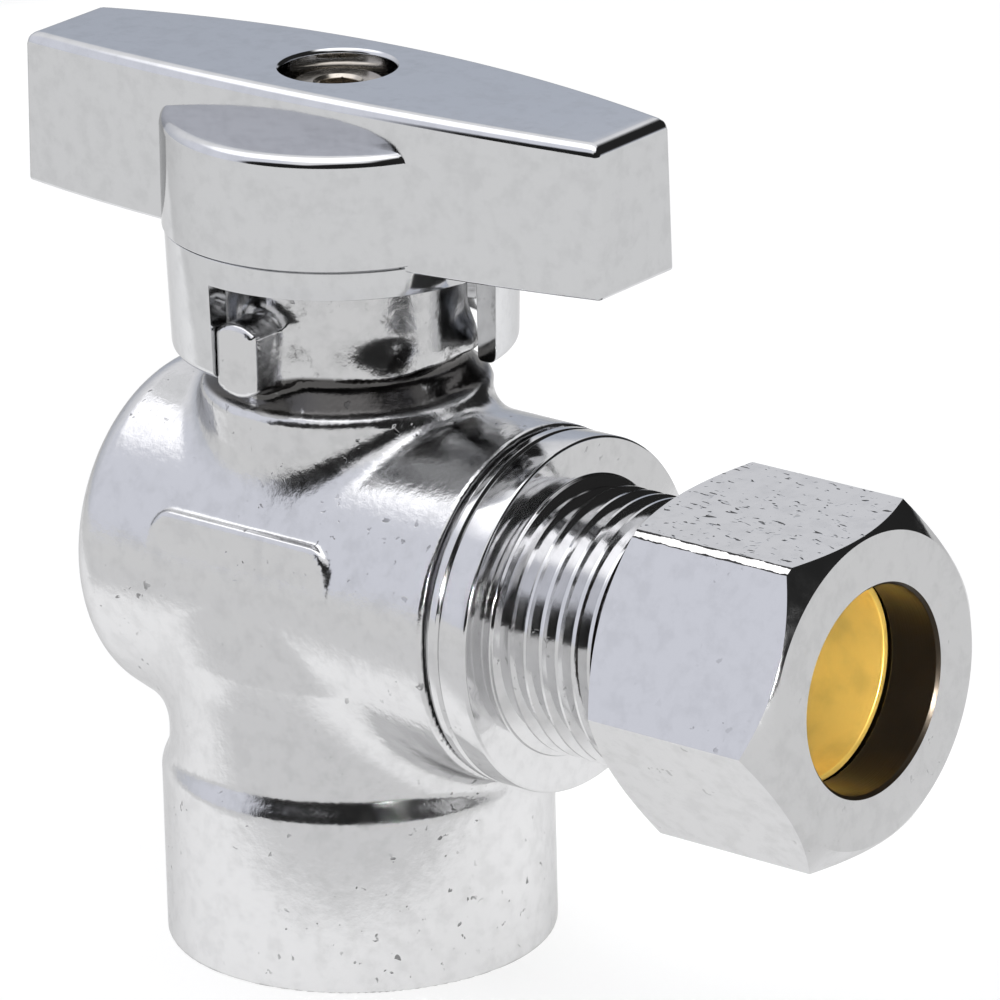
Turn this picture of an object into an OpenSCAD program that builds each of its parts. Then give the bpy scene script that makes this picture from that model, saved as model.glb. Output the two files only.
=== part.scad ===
// Quarter-turn angle stop valve: female threaded inlet below, compression outlet at the side.
// Millimetres. The origin is the centre of the inlet mouth, +Z runs up the stem and
// +X runs out along the outlet. At rest the valve is open, with the lever along the outlet.

/* [Inlet leg] */
// Outside diameter of the collar around the inlet
inlet_d = 25.4; // [25:0.1:26]
// Height of the collar's straight wall
collar_h = 11.4; // [10:0.1:12]
// Diameter of the cast leg between the collar and the barrel
leg_d = 24.4; // [24:0.1:24.8]
// Wall diameter of the inlet hole, the minor diameter of a 1/2-14 pipe thread
inlet_bore_d = 18.3; // [18:0.1:18.6]
// Depth of the inlet hole
inlet_bore_depth = 13.5; // [12:0.1:14]

/* [Barrel] */
// Height of the outlet axis above the inlet mouth
outlet_z = 25.2; // [25:0.1:25.5]
// Diameter of the horizontal barrel
barrel_d = 23.2; // [23:0.1:24]
// Distance from the stem axis to the closed back of the barrel
barrel_back = 14.6; // [14:0.1:16]
// Distance from the stem axis to the barrel's machined front face
barrel_front = 15.2; // [15:0.1:15.5]
// Distance from the barrel axis to the flat cast pad on each side
pad_reach = 11.75; // [11.6:0.05:12]

/* [Neck] */
// Diameter of the round boss at the foot of the neck
boss_d = 18.6; // [18:0.1:19]
// Height of the boss's ledge
boss_top = 37.6; // [37.5:0.1:38]
// Size of the neck's hexagon across its flats
neck_hex = 15.7; // [15.4:0.1:16]
// Height of the neck's top face
neck_top = 46.4; // [46:0.1:46.5]
// Width of the stop peg
peg_w = 3.3; // [3:0.1:3.6]
// Height of the stop peg
peg_h = 4.9; // [4:0.1:4.9]
// Distance from the stem axis to the peg's end
peg_reach = 10.8; // [10.5:0.1:11]

/* [Lever handle] */
// Overall length of the lever
lever_l = 45.9; // [40:0.1:50]
// Width of the lever at its middle
lever_mid_w = 12.7; // [12:0.1:13.5]
// Width of the lever at its ends
lever_end_w = 7.7; // [6:0.1:9]
// Angle of the lever past the outlet line at its open stop, in degrees
lever_lead = 2; // [0:1:3]
// Height of the middle of the lever's top face above the inlet mouth
lever_top = 58.0; // [57.8:0.1:60]
// Diameter of the round hub
hub_d = 23.0; // [22.8:0.1:23.4]
// Height of the skirt's lower edge
skirt_low = 39.8; // [39.5:0.1:40]

/* [Compression joint] */
// Outside diameter of the thread, 11/16-20
thread_d = 17.4; // [17.3:0.05:17.45]
// Pitch of the thread, twenty turns to the inch
thread_pitch = 1.27; // [1.2:0.01:1.3]
// Size of the nut across its flats, 13/16 inch
nut_hex = 20.6; // [20.2:0.1:21]
// Diameter of the hole in the nut's face
nut_hole_d = 13.3; // [13:0.1:13.6]
// Diameter of the socket for the 1/2 inch tube
tube_socket_d = 12.84; // [12.8:0.01:12.86]

/* [Ball and stem] */
// Diameter of the ball
ball_d = 15.2; // [15:0.1:15.3]
// Diameter of the ball's two ports
port_d = 8.4; // [7:0.1:8.6]
// Diameter of the stem's shaft
stem_d = 7.14; // [7.1:0.01:7.16]
// Side of the stem's square drive
drive_w = 5.0; // [4.6:0.1:5]

/* [Hidden] */
$fn = 96;
over = 1;                          // how far a cut runs past a face
inlet_r = inlet_d / 2;
leg_r = leg_d / 2;
barrel_r = barrel_d / 2;
boss_r = boss_d / 2;
edge = 0.3;                        // broken edge on machined corners
back_edge_r = 3;                   // rounding of the barrel's closed back
leg_shoulder = 9.5;                // height of the leg's own wall above the collar
pad_half_w = 7.45;
pad_low = outlet_z + 1.3;
pad_high = outlet_z + 5;
pad_corner_r = 1.6;
pad_draft = 7.4;                   // how far the pad leans towards the stem, in degrees
hex_low = 39.7;                    // heights between which the neck is a hexagon
hex_high = 42.1;
peg_z = 41.3;

chamber_r = 8.2;                   // the ball's chamber
chamber_back = 8.6;
plug_r = 9.5;                      // threaded hole for the outlet adapter
plug_start = 8.7;
waterway_r = 4.7;
washer_top = 36.1;                 // shoulder that stops the stem from blowing out
stem_well_r = 5.15;
neck_bore_r = 3.6;

adapter_flange_r = 11.5;
adapter_flange_end = 18.7;
adapter_end = 31.8;
socket_stop = 21.8;                // where the tube's end stops
mouth_l = 0.9;                     // the cone that the sleeve is driven into
thread_r = thread_d / 2;
thread_depth = 0.72;
thread_turns = 9;
seal_x = 14.05;
seal_r = 9.0;
seal_wire = 0.48;

nut_start = 27.65;
nut_end = 41.8;
nut_turned = -24.5;                // where the nut's corners stand
nut_face_r = 10.1;
sleeve_start = 32.55;
sleeve_end = 37.7;

seat_front = 4.6;                  // inner face of each ball seat
seat_gap = 0.02;
slot_w = 2.5;
slot_floor = 5.0;                  // slot's floor above the ball's centre
blade_w = 2.4;
blade_l = 9.0;
flange_low = 33.5;
flange_high = 35.3;
stem_flange_r = 5.0;
drive_low = 46.6;
drive_high = 53.0;
tapped_r = 1.75;
groove_h = 1.5;
groove_floor_r = 2.3;
ring_wire = 0.63;
ring_heights = [38.9, 42.9];

lever_low = 47.6;
lever_shift = 0.25;                // from the stem axis to the lever's middle
lever_crown = 0.5;                 // drop of the lever's top face at its ends
hub_low = 48.0;
hub_high = 55.4;
skirt_r = 11.3;
skirt_in_r = 9.6;
skirt_ceiling = 46.9;
window_high = 46.1;
stop_gap = 0.05;
screw_recess_r = 3.7;
recess_floor = 54.3;
head_r = 3.0;
head_high = 57.0;
head_hex = 2.5;

function arc(cx, cy, r, a0, a1, n = 8) =
    [for (i = [0:n]) let (a = a0 + (a1 - a0) * i / n) [cx + r * cos(a), cy + r * sin(a)]];

// Turns children drawn about +Z so that they lie about the outlet axis, +Z becoming +X.
module on_outlet() {
    translate([0, 0, outlet_z]) rotate([0, 90, 0]) children();
}

// Torus about +Z.
module ring(centre_r, wire_r, height = 0) {
    translate([0, 0, height]) rotate_extrude() translate([centre_r, 0]) circle(wire_r, $fn = 32);
}

// Rounded rectangle in X and Y.
module rounded_plate(w, h, r) {
    translate([-w / 2 + r, -h / 2]) square([w - 2 * r, h]);
    translate([-w / 2, -h / 2 + r]) square([w, h - 2 * r]);
    for (x = [-1, 1], y = [-1, 1])
        translate([x * (w / 2 - r), y * (h / 2 - r)]) circle(r, $fn = 48);
}

module leg_solid() {
    rotate_extrude() polygon([
        [0, 0], [inlet_r - edge, 0], [inlet_r, edge], [inlet_r, collar_h],
        [leg_r + 0.15, collar_h + 1.4], [leg_r, collar_h + 2],
        [leg_r, collar_h + leg_shoulder], [barrel_r - 0.25, outlet_z + 2], [0, outlet_z + 2]]);
}

module barrel_solid() {
    on_outlet() rotate_extrude() polygon(concat(
        [[0, -barrel_back]],
        arc(barrel_r - back_edge_r, -barrel_back + back_edge_r, back_edge_r, -90, 0),
        [[barrel_r, barrel_front - edge], [barrel_r - edge, barrel_front], [0, barrel_front]]));
}

module neck_solid() {
    foot_r = neck_hex / 2 - 0.5;
    rotate_extrude() polygon([
        [0, outlet_z], [boss_r, outlet_z], [boss_r, boss_top - 0.5], [boss_r - 0.5, boss_top],
        [foot_r + 0.6, boss_top + 0.6], [foot_r, hex_low + 0.1], [foot_r, hex_low + 0.4],
        [0, hex_low + 0.4]]);
    translate([0, 0, hex_low]) rotate(30)
        cylinder(d = neck_hex / cos(30), h = hex_high - hex_low, $fn = 6);
    rotate_extrude() polygon([
        [0, hex_high - 1], [neck_hex / 2 - 0.05, hex_high - 1],
        [neck_hex / 2 - 0.05, neck_top - edge], [neck_hex / 2 - 0.05 - edge, neck_top],
        [0, neck_top]]);
}

module stop_peg() {
    intersection() {
        translate([0, 0, peg_z]) rotate([90, 0, 0]) cylinder(d = peg_h, h = peg_reach);
        translate([-peg_w / 2, -peg_reach, peg_z - peg_h / 2]) cube([peg_w, peg_reach, peg_h]);
    }
}

module side_pad() {
    translate([0, 0, outlet_z - pad_reach * sin(pad_draft)]) rotate([-pad_draft, 0, 0])
        translate([0, -pad_reach / 2, (pad_low + pad_high) / 2 - outlet_z]) rotate([90, 0, 0])
            linear_extrude(pad_reach / 2)
                rounded_plate(2 * pad_half_w, pad_high - pad_low, pad_corner_r);
}

// Forged brass body: inlet leg, barrel, neck and stop peg in one piece, bored out for the ball.
module valve_body() {
    color("silver") difference() {
        union() {
            leg_solid();
            barrel_solid();
            neck_solid();
            stop_peg();
            side_pad();
            rotate(180) side_pad();
        }
        translate([0, 0, -over]) cylinder(d = inlet_bore_d, h = inlet_bore_depth + over);
        translate([0, 0, inlet_bore_depth - over]) cylinder(r = waterway_r, h = 10);
        on_outlet() translate([0, 0, -chamber_back])
            cylinder(r = chamber_r, h = chamber_back + plug_start + over);
        on_outlet() translate([0, 0, plug_start])
            cylinder(r = plug_r, h = barrel_front - plug_start + over);
        translate([0, 0, outlet_z]) cylinder(r = stem_well_r, h = washer_top - outlet_z);
        translate([0, 0, outlet_z]) cylinder(r = neck_bore_r, h = neck_top - outlet_z + over);
    }
}

// Outline of the compression thread from its start to the adapter's end, as rings.
function thread_outline() = [
    for (i = [0:thread_turns - 1], p = [0:2])
        let (x = adapter_end - 0.9 - (thread_turns - i) * thread_pitch)
        [p == 0 ? thread_r - thread_depth : thread_r,
         x + thread_pitch * [0, 0.44, 0.56][p]]];

// Turned outlet piece: plug with seal groove, flange, thread and tube socket.
module outlet_adapter() {
    plug_out_r = plug_r - 0.08;
    seal_half = 0.65;
    socket_r = tube_socket_d / 2;
    groove_x = 16.5;
    root_r = thread_r - thread_depth;
    color("silver") on_outlet() rotate_extrude() polygon(concat(
        [[waterway_r, plug_start + 0.02], [chamber_r, plug_start + 0.02],
         [plug_out_r, plug_start + 1.2],
         [plug_out_r, seal_x - seal_half], [seal_r - seal_wire - 0.02, seal_x - seal_half],
         [seal_r - seal_wire - 0.02, seal_x + seal_half], [plug_out_r, seal_x + seal_half],
         [plug_out_r, barrel_front], [adapter_flange_r - 0.35, barrel_front],
         [adapter_flange_r, barrel_front + 0.35],
         [adapter_flange_r, groove_x - 0.2], [adapter_flange_r - 0.25, groove_x],
         [adapter_flange_r, groove_x + 0.2],
         [adapter_flange_r, adapter_flange_end - edge],
         [adapter_flange_r - edge, adapter_flange_end],
         [thread_r + 0.35, adapter_flange_end], [root_r, adapter_flange_end + 0.7]],
        thread_outline(),
        [[root_r, adapter_end - 0.9], [root_r, adapter_end - 0.4],
         [root_r - 0.4, adapter_end], [socket_r + mouth_l, adapter_end],
         [socket_r, adapter_end - mouth_l], [socket_r, socket_stop],
         [waterway_r, socket_stop]]));
}

module adapter_o_ring() {
    color([0.12, 0.12, 0.12]) on_outlet() ring(seal_r, seal_wire, seal_x);
}

// Hollow ball with an elbow passage: one port down, one port to the outlet, slot on top.
module ball() {
    color("lightgray") translate([0, 0, outlet_z]) rotate(lever_lead) difference() {
        sphere(d = ball_d);
        rotate([180, 0, 0]) cylinder(d = port_d, h = ball_d);
        rotate([0, 90, 0]) cylinder(d = port_d, h = ball_d);
        sphere(d = port_d);
        translate([-slot_w / 2, -ball_d / 2, slot_floor]) cube([slot_w, ball_d, ball_d]);
    }
}

// Plastic seat ring that the ball turns against, behind the ball at x = -seat_front.
module ball_seat() {
    on_outlet() difference() {
        translate([0, 0, -chamber_back]) cylinder(r = chamber_r - seat_gap, h = chamber_back - seat_front);
        translate([0, 0, -chamber_back - over]) cylinder(r = waterway_r, h = ball_d);
        sphere(d = ball_d + 2 * seat_gap);
    }
}

module ball_seat_rear() {
    color("white") ball_seat();
}

module ball_seat_outlet() {
    color("white") mirror([1, 0, 0]) ball_seat();
}

// Stem, put in from inside: blade in the ball's slot, flange, shaft with two ring grooves, square.
module stem() {
    shaft_r = stem_d / 2;
    half = groove_h / 2;
    groove_points = [for (h = ring_heights, p = [[0, -half], [1, -half], [1, half], [0, half]])
        [p[0] == 0 ? shaft_r : groove_floor_r, h + p[1]]];
    color("goldenrod") rotate(lever_lead) difference() {
        union() {
            intersection() {
                translate([-blade_w / 2, -blade_l / 2, outlet_z + slot_floor + 0.1])
                    cube([blade_w, blade_l, flange_low - outlet_z - slot_floor]);
                cylinder(r = blade_l / 2, h = flange_high);
            }
            rotate_extrude() polygon(concat(
                [[0, flange_low], [stem_flange_r, flange_low], [stem_flange_r, flange_high],
                 [shaft_r, flange_high]],
                groove_points,
                [[shaft_r, drive_low], [0, drive_low]]));
            translate([-drive_w / 2, -drive_w / 2, drive_low - over])
                cube([drive_w, drive_w, drive_high - drive_low + over]);
        }
        translate([0, 0, drive_high - 8]) cylinder(r = tapped_r, h = 8 + over);
    }
}

module stem_thrust_washer() {
    color("white") difference() {
        translate([0, 0, flange_high]) cylinder(r = stem_flange_r, h = washer_top - flange_high - 0.02);
        cylinder(d = stem_d + 0.1, h = washer_top + over);
    }
}

module stem_o_ring(which) {
    color([0.12, 0.12, 0.12]) ring(groove_floor_r + 0.02 + ring_wire, ring_wire, ring_heights[which]);
}

module stem_o_ring_lower() { stem_o_ring(0); }

module stem_o_ring_upper() { stem_o_ring(1); }

// Plan of the lever: two long arcs, widest in the middle, with square ends.
module lever_plan() {
    rise = (lever_mid_w - lever_end_w) / 2;
    arc_r = (pow(lever_l / 2, 2) + pow(rise, 2)) / (2 * rise);
    intersection() {
        translate([0, arc_r - lever_mid_w / 2]) circle(arc_r, $fn = 360);
        translate([0, lever_mid_w / 2 - arc_r]) circle(arc_r, $fn = 360);
        square([lever_l, 2 * lever_mid_w], center = true);
    }
}

// Die-cast handle: lever, round hub, and a skirt whose two gaps ride past the stop peg.
module handle() {
    stop = peg_w / 2 + stop_gap;
    top_r = 0.8;
    crown_r = (pow(lever_l / 2, 2) + pow(lever_crown, 2)) / (2 * lever_crown);
    color("silver") difference() {
        union() {
            rotate(lever_lead) translate([lever_shift, 0, 0]) intersection() {
                translate([0, 0, lever_low]) linear_extrude(lever_top - lever_low) lever_plan();
                translate([0, lever_mid_w, lever_top - crown_r]) rotate([90, 0, 0])
                    cylinder(r = crown_r, h = 2 * lever_mid_w, $fn = 1440);
            }
            rotate_extrude() polygon(concat(
                [[0, hub_low], [hub_d / 2, hub_low]],
                arc(hub_d / 2 - top_r, hub_high - top_r, top_r, 0, 90, 4),
                [[0, hub_high]]));
            translate([0, 0, skirt_low]) cylinder(r = skirt_r, h = hub_low - skirt_low);
        }
        translate([0, 0, skirt_low - over]) cylinder(r = skirt_in_r, h = skirt_ceiling - skirt_low + over);
        for (side = [0, 180])
            rotate(side) translate([-stop, stop - 2 * skirt_r, skirt_low - over])
                cube([2 * skirt_r, 2 * skirt_r, window_high - skirt_low + over]);
        rotate(lever_lead) translate([-drive_w / 2 - 0.05, -drive_w / 2 - 0.05, skirt_ceiling - over])
            cube([drive_w + 0.1, drive_w + 0.1, drive_high + 0.1 - skirt_ceiling + over]);
        translate([0, 0, skirt_ceiling]) cylinder(r = tapped_r + 0.35, h = lever_top);
        translate([0, 0, recess_floor]) cylinder(r = screw_recess_r, h = lever_top);
    }
}

// Socket head screw that holds the handle down on the stem.
module handle_screw() {
    shank_l = 7;
    socket_depth = 1.7;
    color("gray") difference() {
        rotate_extrude() polygon([
            [0, recess_floor - shank_l], [tapped_r - 0.3, recess_floor - shank_l],
            [tapped_r - 0.03, recess_floor - shank_l + 0.4], [tapped_r - 0.03, recess_floor],
            [head_r, recess_floor], [head_r, head_high - 0.25], [head_r - 0.25, head_high],
            [0, head_high]]);
        translate([0, 0, head_high - socket_depth])
            cylinder(d = head_hex / cos(30), h = socket_depth + over, $fn = 6);
    }
}

// Brass compression sleeve that grips the tube.
module compression_sleeve() {
    in_r = tube_socket_d / 2 + 0.02;
    color("gold") on_outlet() rotate_extrude() polygon([
        [in_r, sleeve_start], [in_r + 0.28, sleeve_start], [in_r + 0.85, sleeve_start + 1.1],
        [in_r + 0.85, sleeve_end - 0.8], [in_r + 0.45, sleeve_end], [in_r, sleeve_end]]);
}

// Hexagon nut with both ends chamfered, threaded inside, with a cone that drives the sleeve.
module compression_nut() {
    thread_clear_r = thread_r + 0.08;
    hole_r = nut_hole_d / 2;
    cone_l = thread_clear_r - hole_r;
    lip = 3.6;
    corner_r = nut_hex / 2 / cos(30) + 0.1;
    color("silver") on_outlet() difference() {
        intersection() {
            rotate(60 + nut_turned) translate([0, 0, nut_start])
                cylinder(d = nut_hex / cos(30), h = nut_end - nut_start, $fn = 6);
            rotate_extrude() polygon([
                [0, nut_start], [nut_face_r, nut_start], [corner_r, nut_start + 1.1],
                [corner_r, nut_end - 1.44], [nut_face_r, nut_end], [0, nut_end]]);
        }
        rotate_extrude() polygon([
            [0, nut_start - over], [thread_clear_r, nut_start - over],
            [thread_clear_r, nut_end - lip - cone_l], [hole_r, nut_end - lip],
            [hole_r, nut_end + over], [0, nut_end + over]]);
    }
}

valve_body();
outlet_adapter();
adapter_o_ring();
ball();
ball_seat_rear();
ball_seat_outlet();
stem();
stem_thrust_washer();
stem_o_ring_lower();
stem_o_ring_upper();
handle();
handle_screw();
compression_sleeve();
compression_nut();
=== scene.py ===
"""Looks for the angle stop valve: meshes, materials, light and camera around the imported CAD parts.

The frame is the CAD's: origin at the centre of the inlet mouth, +Z up the stem, +X out along the
outlet.
"""

import math

import bmesh
import bpy
import numpy as np
from mathutils import Matrix, Vector, noise


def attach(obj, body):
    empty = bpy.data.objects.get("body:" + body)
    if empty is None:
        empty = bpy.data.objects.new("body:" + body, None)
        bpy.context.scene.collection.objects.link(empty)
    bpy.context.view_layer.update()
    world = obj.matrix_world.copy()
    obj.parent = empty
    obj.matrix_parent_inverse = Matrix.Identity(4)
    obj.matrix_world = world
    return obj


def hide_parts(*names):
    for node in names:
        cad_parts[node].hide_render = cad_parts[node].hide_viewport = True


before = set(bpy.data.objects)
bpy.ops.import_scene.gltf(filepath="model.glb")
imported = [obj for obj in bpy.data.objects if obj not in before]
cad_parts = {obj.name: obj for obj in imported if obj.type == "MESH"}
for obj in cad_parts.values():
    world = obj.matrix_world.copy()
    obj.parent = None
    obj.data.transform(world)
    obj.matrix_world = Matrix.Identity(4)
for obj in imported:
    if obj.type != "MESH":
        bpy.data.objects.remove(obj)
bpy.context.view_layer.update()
MM = 0.001

# Driving sizes, as in the CAD source, in millimetres
OUTLET_Z = 25.2
INLET_R, COLLAR_H, INLET_DEPTH = 12.69, 11.4, 13.5
INLET_CUT_R, LINER_R = 10.85, 10.92
LEG_R, LEG_TOP, LEG_SINK, LEG_SLOPE = 12.15, 27.2, 0.25, 0.93
BARREL_R, BARREL_BACK, BARREL_FRONT, BACK_EDGE = 11.6, 14.6, 15.2, 2.6
PAD_REACH, PAD_HALF_W, PAD_HIGH, PAD_CORNER = 11.56, 7.3, 30.2, 1.6
PAD_LEAN, PAD_SINK, PAD_ROOT = 7.4, 0.15, 6
BOSS_R, BOSS_TOP = 9.3, 37.6
NECK_HEX, HEX_LOW, HEX_HIGH, HEX_CORNER_R, NECK_TOP = 15.7, 39.7, 42.1, 8.65, 46.4
FLARE_R, FLARE_SLOPE = 7.3, 0.75
PEG_HALF_W, PEG_HALF_H, PEG_Z, PEG_REACH = 1.65, 2.45, 41.3, 10.8
LEDGE_H, LEG_FILLET, PAD_FILLET, BOSS_FILLET, PEG_FILLET = 1.8, 2.4, 0.3, 1.6, 1.5
FILLET_FADE, NO_FILLET = 5.0, 0.02
BELOW_MOUTH, INSIDE_LEG, PAST_FRONT, PAST_TOP = -3, 5, 20, 60
GRID_STEP = 0.32
CHAMBER_R, CHAMBER_BACK, PLUG_R, PLUG_START = 8.2, 8.6, 9.5, 8.7
WATERWAY_R, STEM_WELL_R, WASHER_TOP, NECK_BORE_R = 4.7, 5.15, 36.1, 3.6
FLANGE_R, FLANGE_END, ADAPTER_END = 11.5, 18.7, 31.8
THREAD_R, THREAD_ROOT_R, THREAD_PITCH = 8.7, 7.98, 1.27
SOCKET_R, SOCKET_STOP, MOUTH_L = 6.42, 21.8, 0.9
NUT_HEX, NUT_START, NUT_END, NUT_TURNED, NUT_FACE_R, NUT_HOLE_R = 20.6, 27.65, 41.8, -24.5, 10.1, 6.65
SLEEVE_START, SLEEVE_END, NUT_LIP = 32.55, 37.7, 3.6
LEVER_L, LEVER_MID_W, LEVER_END_W, LEVER_LEAD = 45.9, 12.7, 7.7, 2.0
LEVER_SHIFT, LEVER_CROWN, LEVER_DRAFT, LEVER_EDGE = 0.25, 0.5, 0.14, 0.8
LEVER_LOW, LEVER_TOP, HUB_R, HUB_LOW, HUB_HIGH = 47.6, 58.0, 11.5, 48.0, 55.4
SKIRT_R, SKIRT_IN_R, SKIRT_LOW, SKIRT_CEILING, WINDOW_HIGH = 11.3, 9.6, 39.8, 46.9, 46.1
RECESS_R, RECESS_FLOOR, HEAD_R, HEAD_HIGH, HEAD_HEX = 3.7, 54.3, 3.0, 57.0, 2.5

# Noise features per metre
CLOUD_SCALE, PATCH_SCALE, SPECK_SCALE, NICK_SCALE = 700.0, 150.0, 1500.0, 1250.0
WAVE_SCALE, DIMPLE_SCALE, SOIL_SCALE, STAIN_SCALE = 250.0, 1900.0, 320.0, 300.0
RAGGED_SCALE, GRAIN_SCALE = 900.0, 900.0


# ---------------------------------------------------------------- shading helpers

def node_maker(tree):
    """Returns a function that adds a node, sets its values and links its inputs."""

    def make(kind, inputs=None, **settings):
        node = tree.nodes.new(kind)
        for key, value in settings.items():
            setattr(node, key, value)
        for key, value in (inputs or {}).items():
            if isinstance(value, bpy.types.NodeSocket):
                tree.links.new(value, node.inputs[key])
            else:
                node.inputs[key].default_value = value
        return node

    return make


def new_material(name, base, metallic, roughness):
    """A Principled material and its node maker."""
    material = bpy.data.materials.new(name)
    material.use_nodes = True
    tree = material.node_tree
    shader = tree.nodes["Principled BSDF"]
    shader.inputs["Base Color"].default_value = (*base, 1)
    shader.inputs["Metallic"].default_value = metallic
    shader.inputs["Roughness"].default_value = roughness
    return material, tree, shader, node_maker(tree)


def range_of(make, value, low, high, to_low=0.0, to_high=1.0):
    """Smooth step of a value from low..high to to_low..to_high."""
    node = make("ShaderNodeMapRange", {"Value": value, "From Min": low, "From Max": high,
                                       "To Min": to_low, "To Max": to_high},
                interpolation_type="SMOOTHSTEP")
    return node.outputs["Result"]


def colour_mix(make, factor, first, second):
    node = make("ShaderNodeMix", data_type="RGBA")
    for index, value in ((0, factor), (6, first), (7, second)):
        if isinstance(value, bpy.types.NodeSocket):
            node.id_data.links.new(value, node.inputs[index])
        else:
            node.inputs[index].default_value = value if index == 0 else (*value, 1)
    return node.outputs[2]


def noise_of(make, place, scale, detail=2.0, roughness=0.5, distortion=0.0):
    """Noise between 0 and 1 with the given number of features per metre."""
    return make("ShaderNodeTexNoise", {"Vector": place, "Scale": scale, "Detail": detail,
                                       "Roughness": roughness, "Distortion": distortion}).outputs["Fac"]


def product_of(make, first, second):
    return make("ShaderNodeMath", {0: first, 1: second}, operation="MULTIPLY").outputs[0]


def bump_of(make, height, depth, below=None, invert=False):
    """Bump of a given depth in millimetres on top of another normal."""
    inputs = {"Strength": 1.0, "Distance": depth * MM, "Height": height}
    if below is not None:
        inputs["Normal"] = below
    return make("ShaderNodeBump", inputs, invert=invert).outputs["Normal"]


def darker(base, share):
    return tuple(c * share for c in base)


def soil_and_shade(make, place, tint, low, high, rim, share, start):
    """Dark band between two heights, within a radius of the stem axis; start sets how much is clean. It
    stands for smudges on the neck, and for painted shade in the hollow ledge between boss and hexagon.
    """
    split = make("ShaderNodeSeparateXYZ", {"Vector": place})
    flat = make("ShaderNodeCombineXYZ", {"X": split.outputs["X"], "Y": split.outputs["Y"]}).outputs["Vector"]
    radius = make("ShaderNodeVectorMath", {0: flat}, operation="LENGTH").outputs["Value"]
    band = product_of(make, range_of(make, split.outputs["Z"], (low - 0.3) * MM, low * MM),
                      range_of(make, split.outputs["Z"], high * MM, (high + 0.3) * MM, 1.0, 0.0))
    band = product_of(make, band, range_of(make, radius, rim * MM, (rim + 0.4) * MM, 1.0, 0.0))
    dirt_and_shade = range_of(make, noise_of(make, place, SOIL_SCALE, 6.0, 0.68, 0.3), start, start + 0.12)
    # The band colour stands for smudges on the neck and for painted shade in the hollow ledge between boss
    # and hexagon.
    return colour_mix(make, product_of(make, product_of(make, band, dirt_and_shade), share), tint, DIRT_AND_SHADE_TINT)


def chrome(name, base, waves, dimples, roughness, smudge, specks=0.3, grime_and_shade=None, dashes=None):
    """Chrome plate over worked metal.

    waves and dimples are bump depths in millimetres, smudge is how much rougher the dull patches are,
    specks is the share of small dark pits. The band list after specks gives dark bands: smudges, and painted
    shade where a band fills a hollow. dashes is (direction, distance): the outer face that carries short
    nicks.
    """
    material, tree, shader, make = new_material(name, base, 1.0, roughness)
    shader.inputs["Specular Tint"].default_value = (*GRAZING_TINT, 1)
    place = make("ShaderNodeTexCoord").outputs["Object"]
    cloud = noise_of(make, place, CLOUD_SCALE, 4.0, 0.6)
    patch = range_of(make, noise_of(make, place, PATCH_SCALE, 3.0), 0.46, 0.62)
    speck = range_of(make, noise_of(make, place, SPECK_SCALE, 2.0, 0.5, 0.4), 0.665, 0.72)
    speck = product_of(make, product_of(make, speck, patch), specks)
    tint = colour_mix(make, range_of(make, cloud, 0.42, 0.70), base, darker(base, 0.93))
    if grime_and_shade:
        for low, high, rim, share, start in grime_and_shade:
            tint = soil_and_shade(make, place, tint, low, high, rim, share, start)
    if dashes:
        facing, distance = dashes
        reach = make("ShaderNodeVectorMath", {0: place, 1: facing}, operation="DOT_PRODUCT").outputs["Value"]
        on_face = range_of(make, reach, (distance - 0.06) * MM, (distance - 0.04) * MM)
        slanted = make("ShaderNodeMapping", {"Vector": place, "Rotation": (0.0, 0.0, 0.9),
                                             "Scale": (1.0, 2.8, 1.0)}).outputs["Vector"]
        nick = range_of(make, noise_of(make, slanted, NICK_SCALE, 1.0, 0.5, 0.6), 0.655, 0.70)
        speck = make("ShaderNodeMath", {0: speck, 1: product_of(make, nick, on_face)},
                     operation="MAXIMUM").outputs[0]
    tint = colour_mix(make, speck, tint, darker(base, 0.12))
    tree.links.new(tint, shader.inputs["Base Color"])
    normal = bump_of(make, noise_of(make, place, WAVE_SCALE, 2.0, 0.45), waves)
    normal = bump_of(make, noise_of(make, place, DIMPLE_SCALE, 3.0, 0.55), dimples, normal)
    normal = bump_of(make, speck, 0.02, normal, True)
    tree.links.new(normal, shader.inputs["Normal"])
    dull = range_of(make, cloud, 0.35, 0.75, roughness, roughness + smudge)
    tree.links.new(dull, shader.inputs["Roughness"])
    return material


def worn_chrome(name):
    """The nut's knocked corner: bright rubbed metal with a ragged dark outline."""
    material, tree, shader, make = new_material(name, (0.9, 0.9, 0.9), 1.0, 0.25)
    place = make("ShaderNodeTexCoord").outputs["Object"]
    corner = math.radians(NUT_TURNED + 60)
    side = (0.0, math.cos(corner), math.sin(corner))
    across = make("ShaderNodeVectorMath", {0: place, 1: side}, operation="DOT_PRODUCT").outputs["Value"]
    middle = OUTLET_Z * math.sin(corner) * MM
    away = make("ShaderNodeMath", {0: across, 1: middle}, operation="SUBTRACT").outputs[0]
    away = make("ShaderNodeMath", {0: away}, operation="ABSOLUTE").outputs[0]
    ragged = make("ShaderNodeMath", {0: noise_of(make, place, RAGGED_SCALE, 4.0, 0.7), 1: 0.45 * MM, 2: away},
                  operation="MULTIPLY_ADD").outputs[0]
    bright = range_of(make, ragged, 0.43 * MM, 0.47 * MM, 1.0, 0.0)
    tint = colour_mix(make, bright, (0.03, 0.03, 0.03), (0.92, 0.91, 0.89))
    tree.links.new(tint, shader.inputs["Base Color"])
    dents = bump_of(make, noise_of(make, place, CLOUD_SCALE, 4.0, 0.6), 0.05)
    tree.links.new(dents, shader.inputs["Normal"])
    return material


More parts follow.
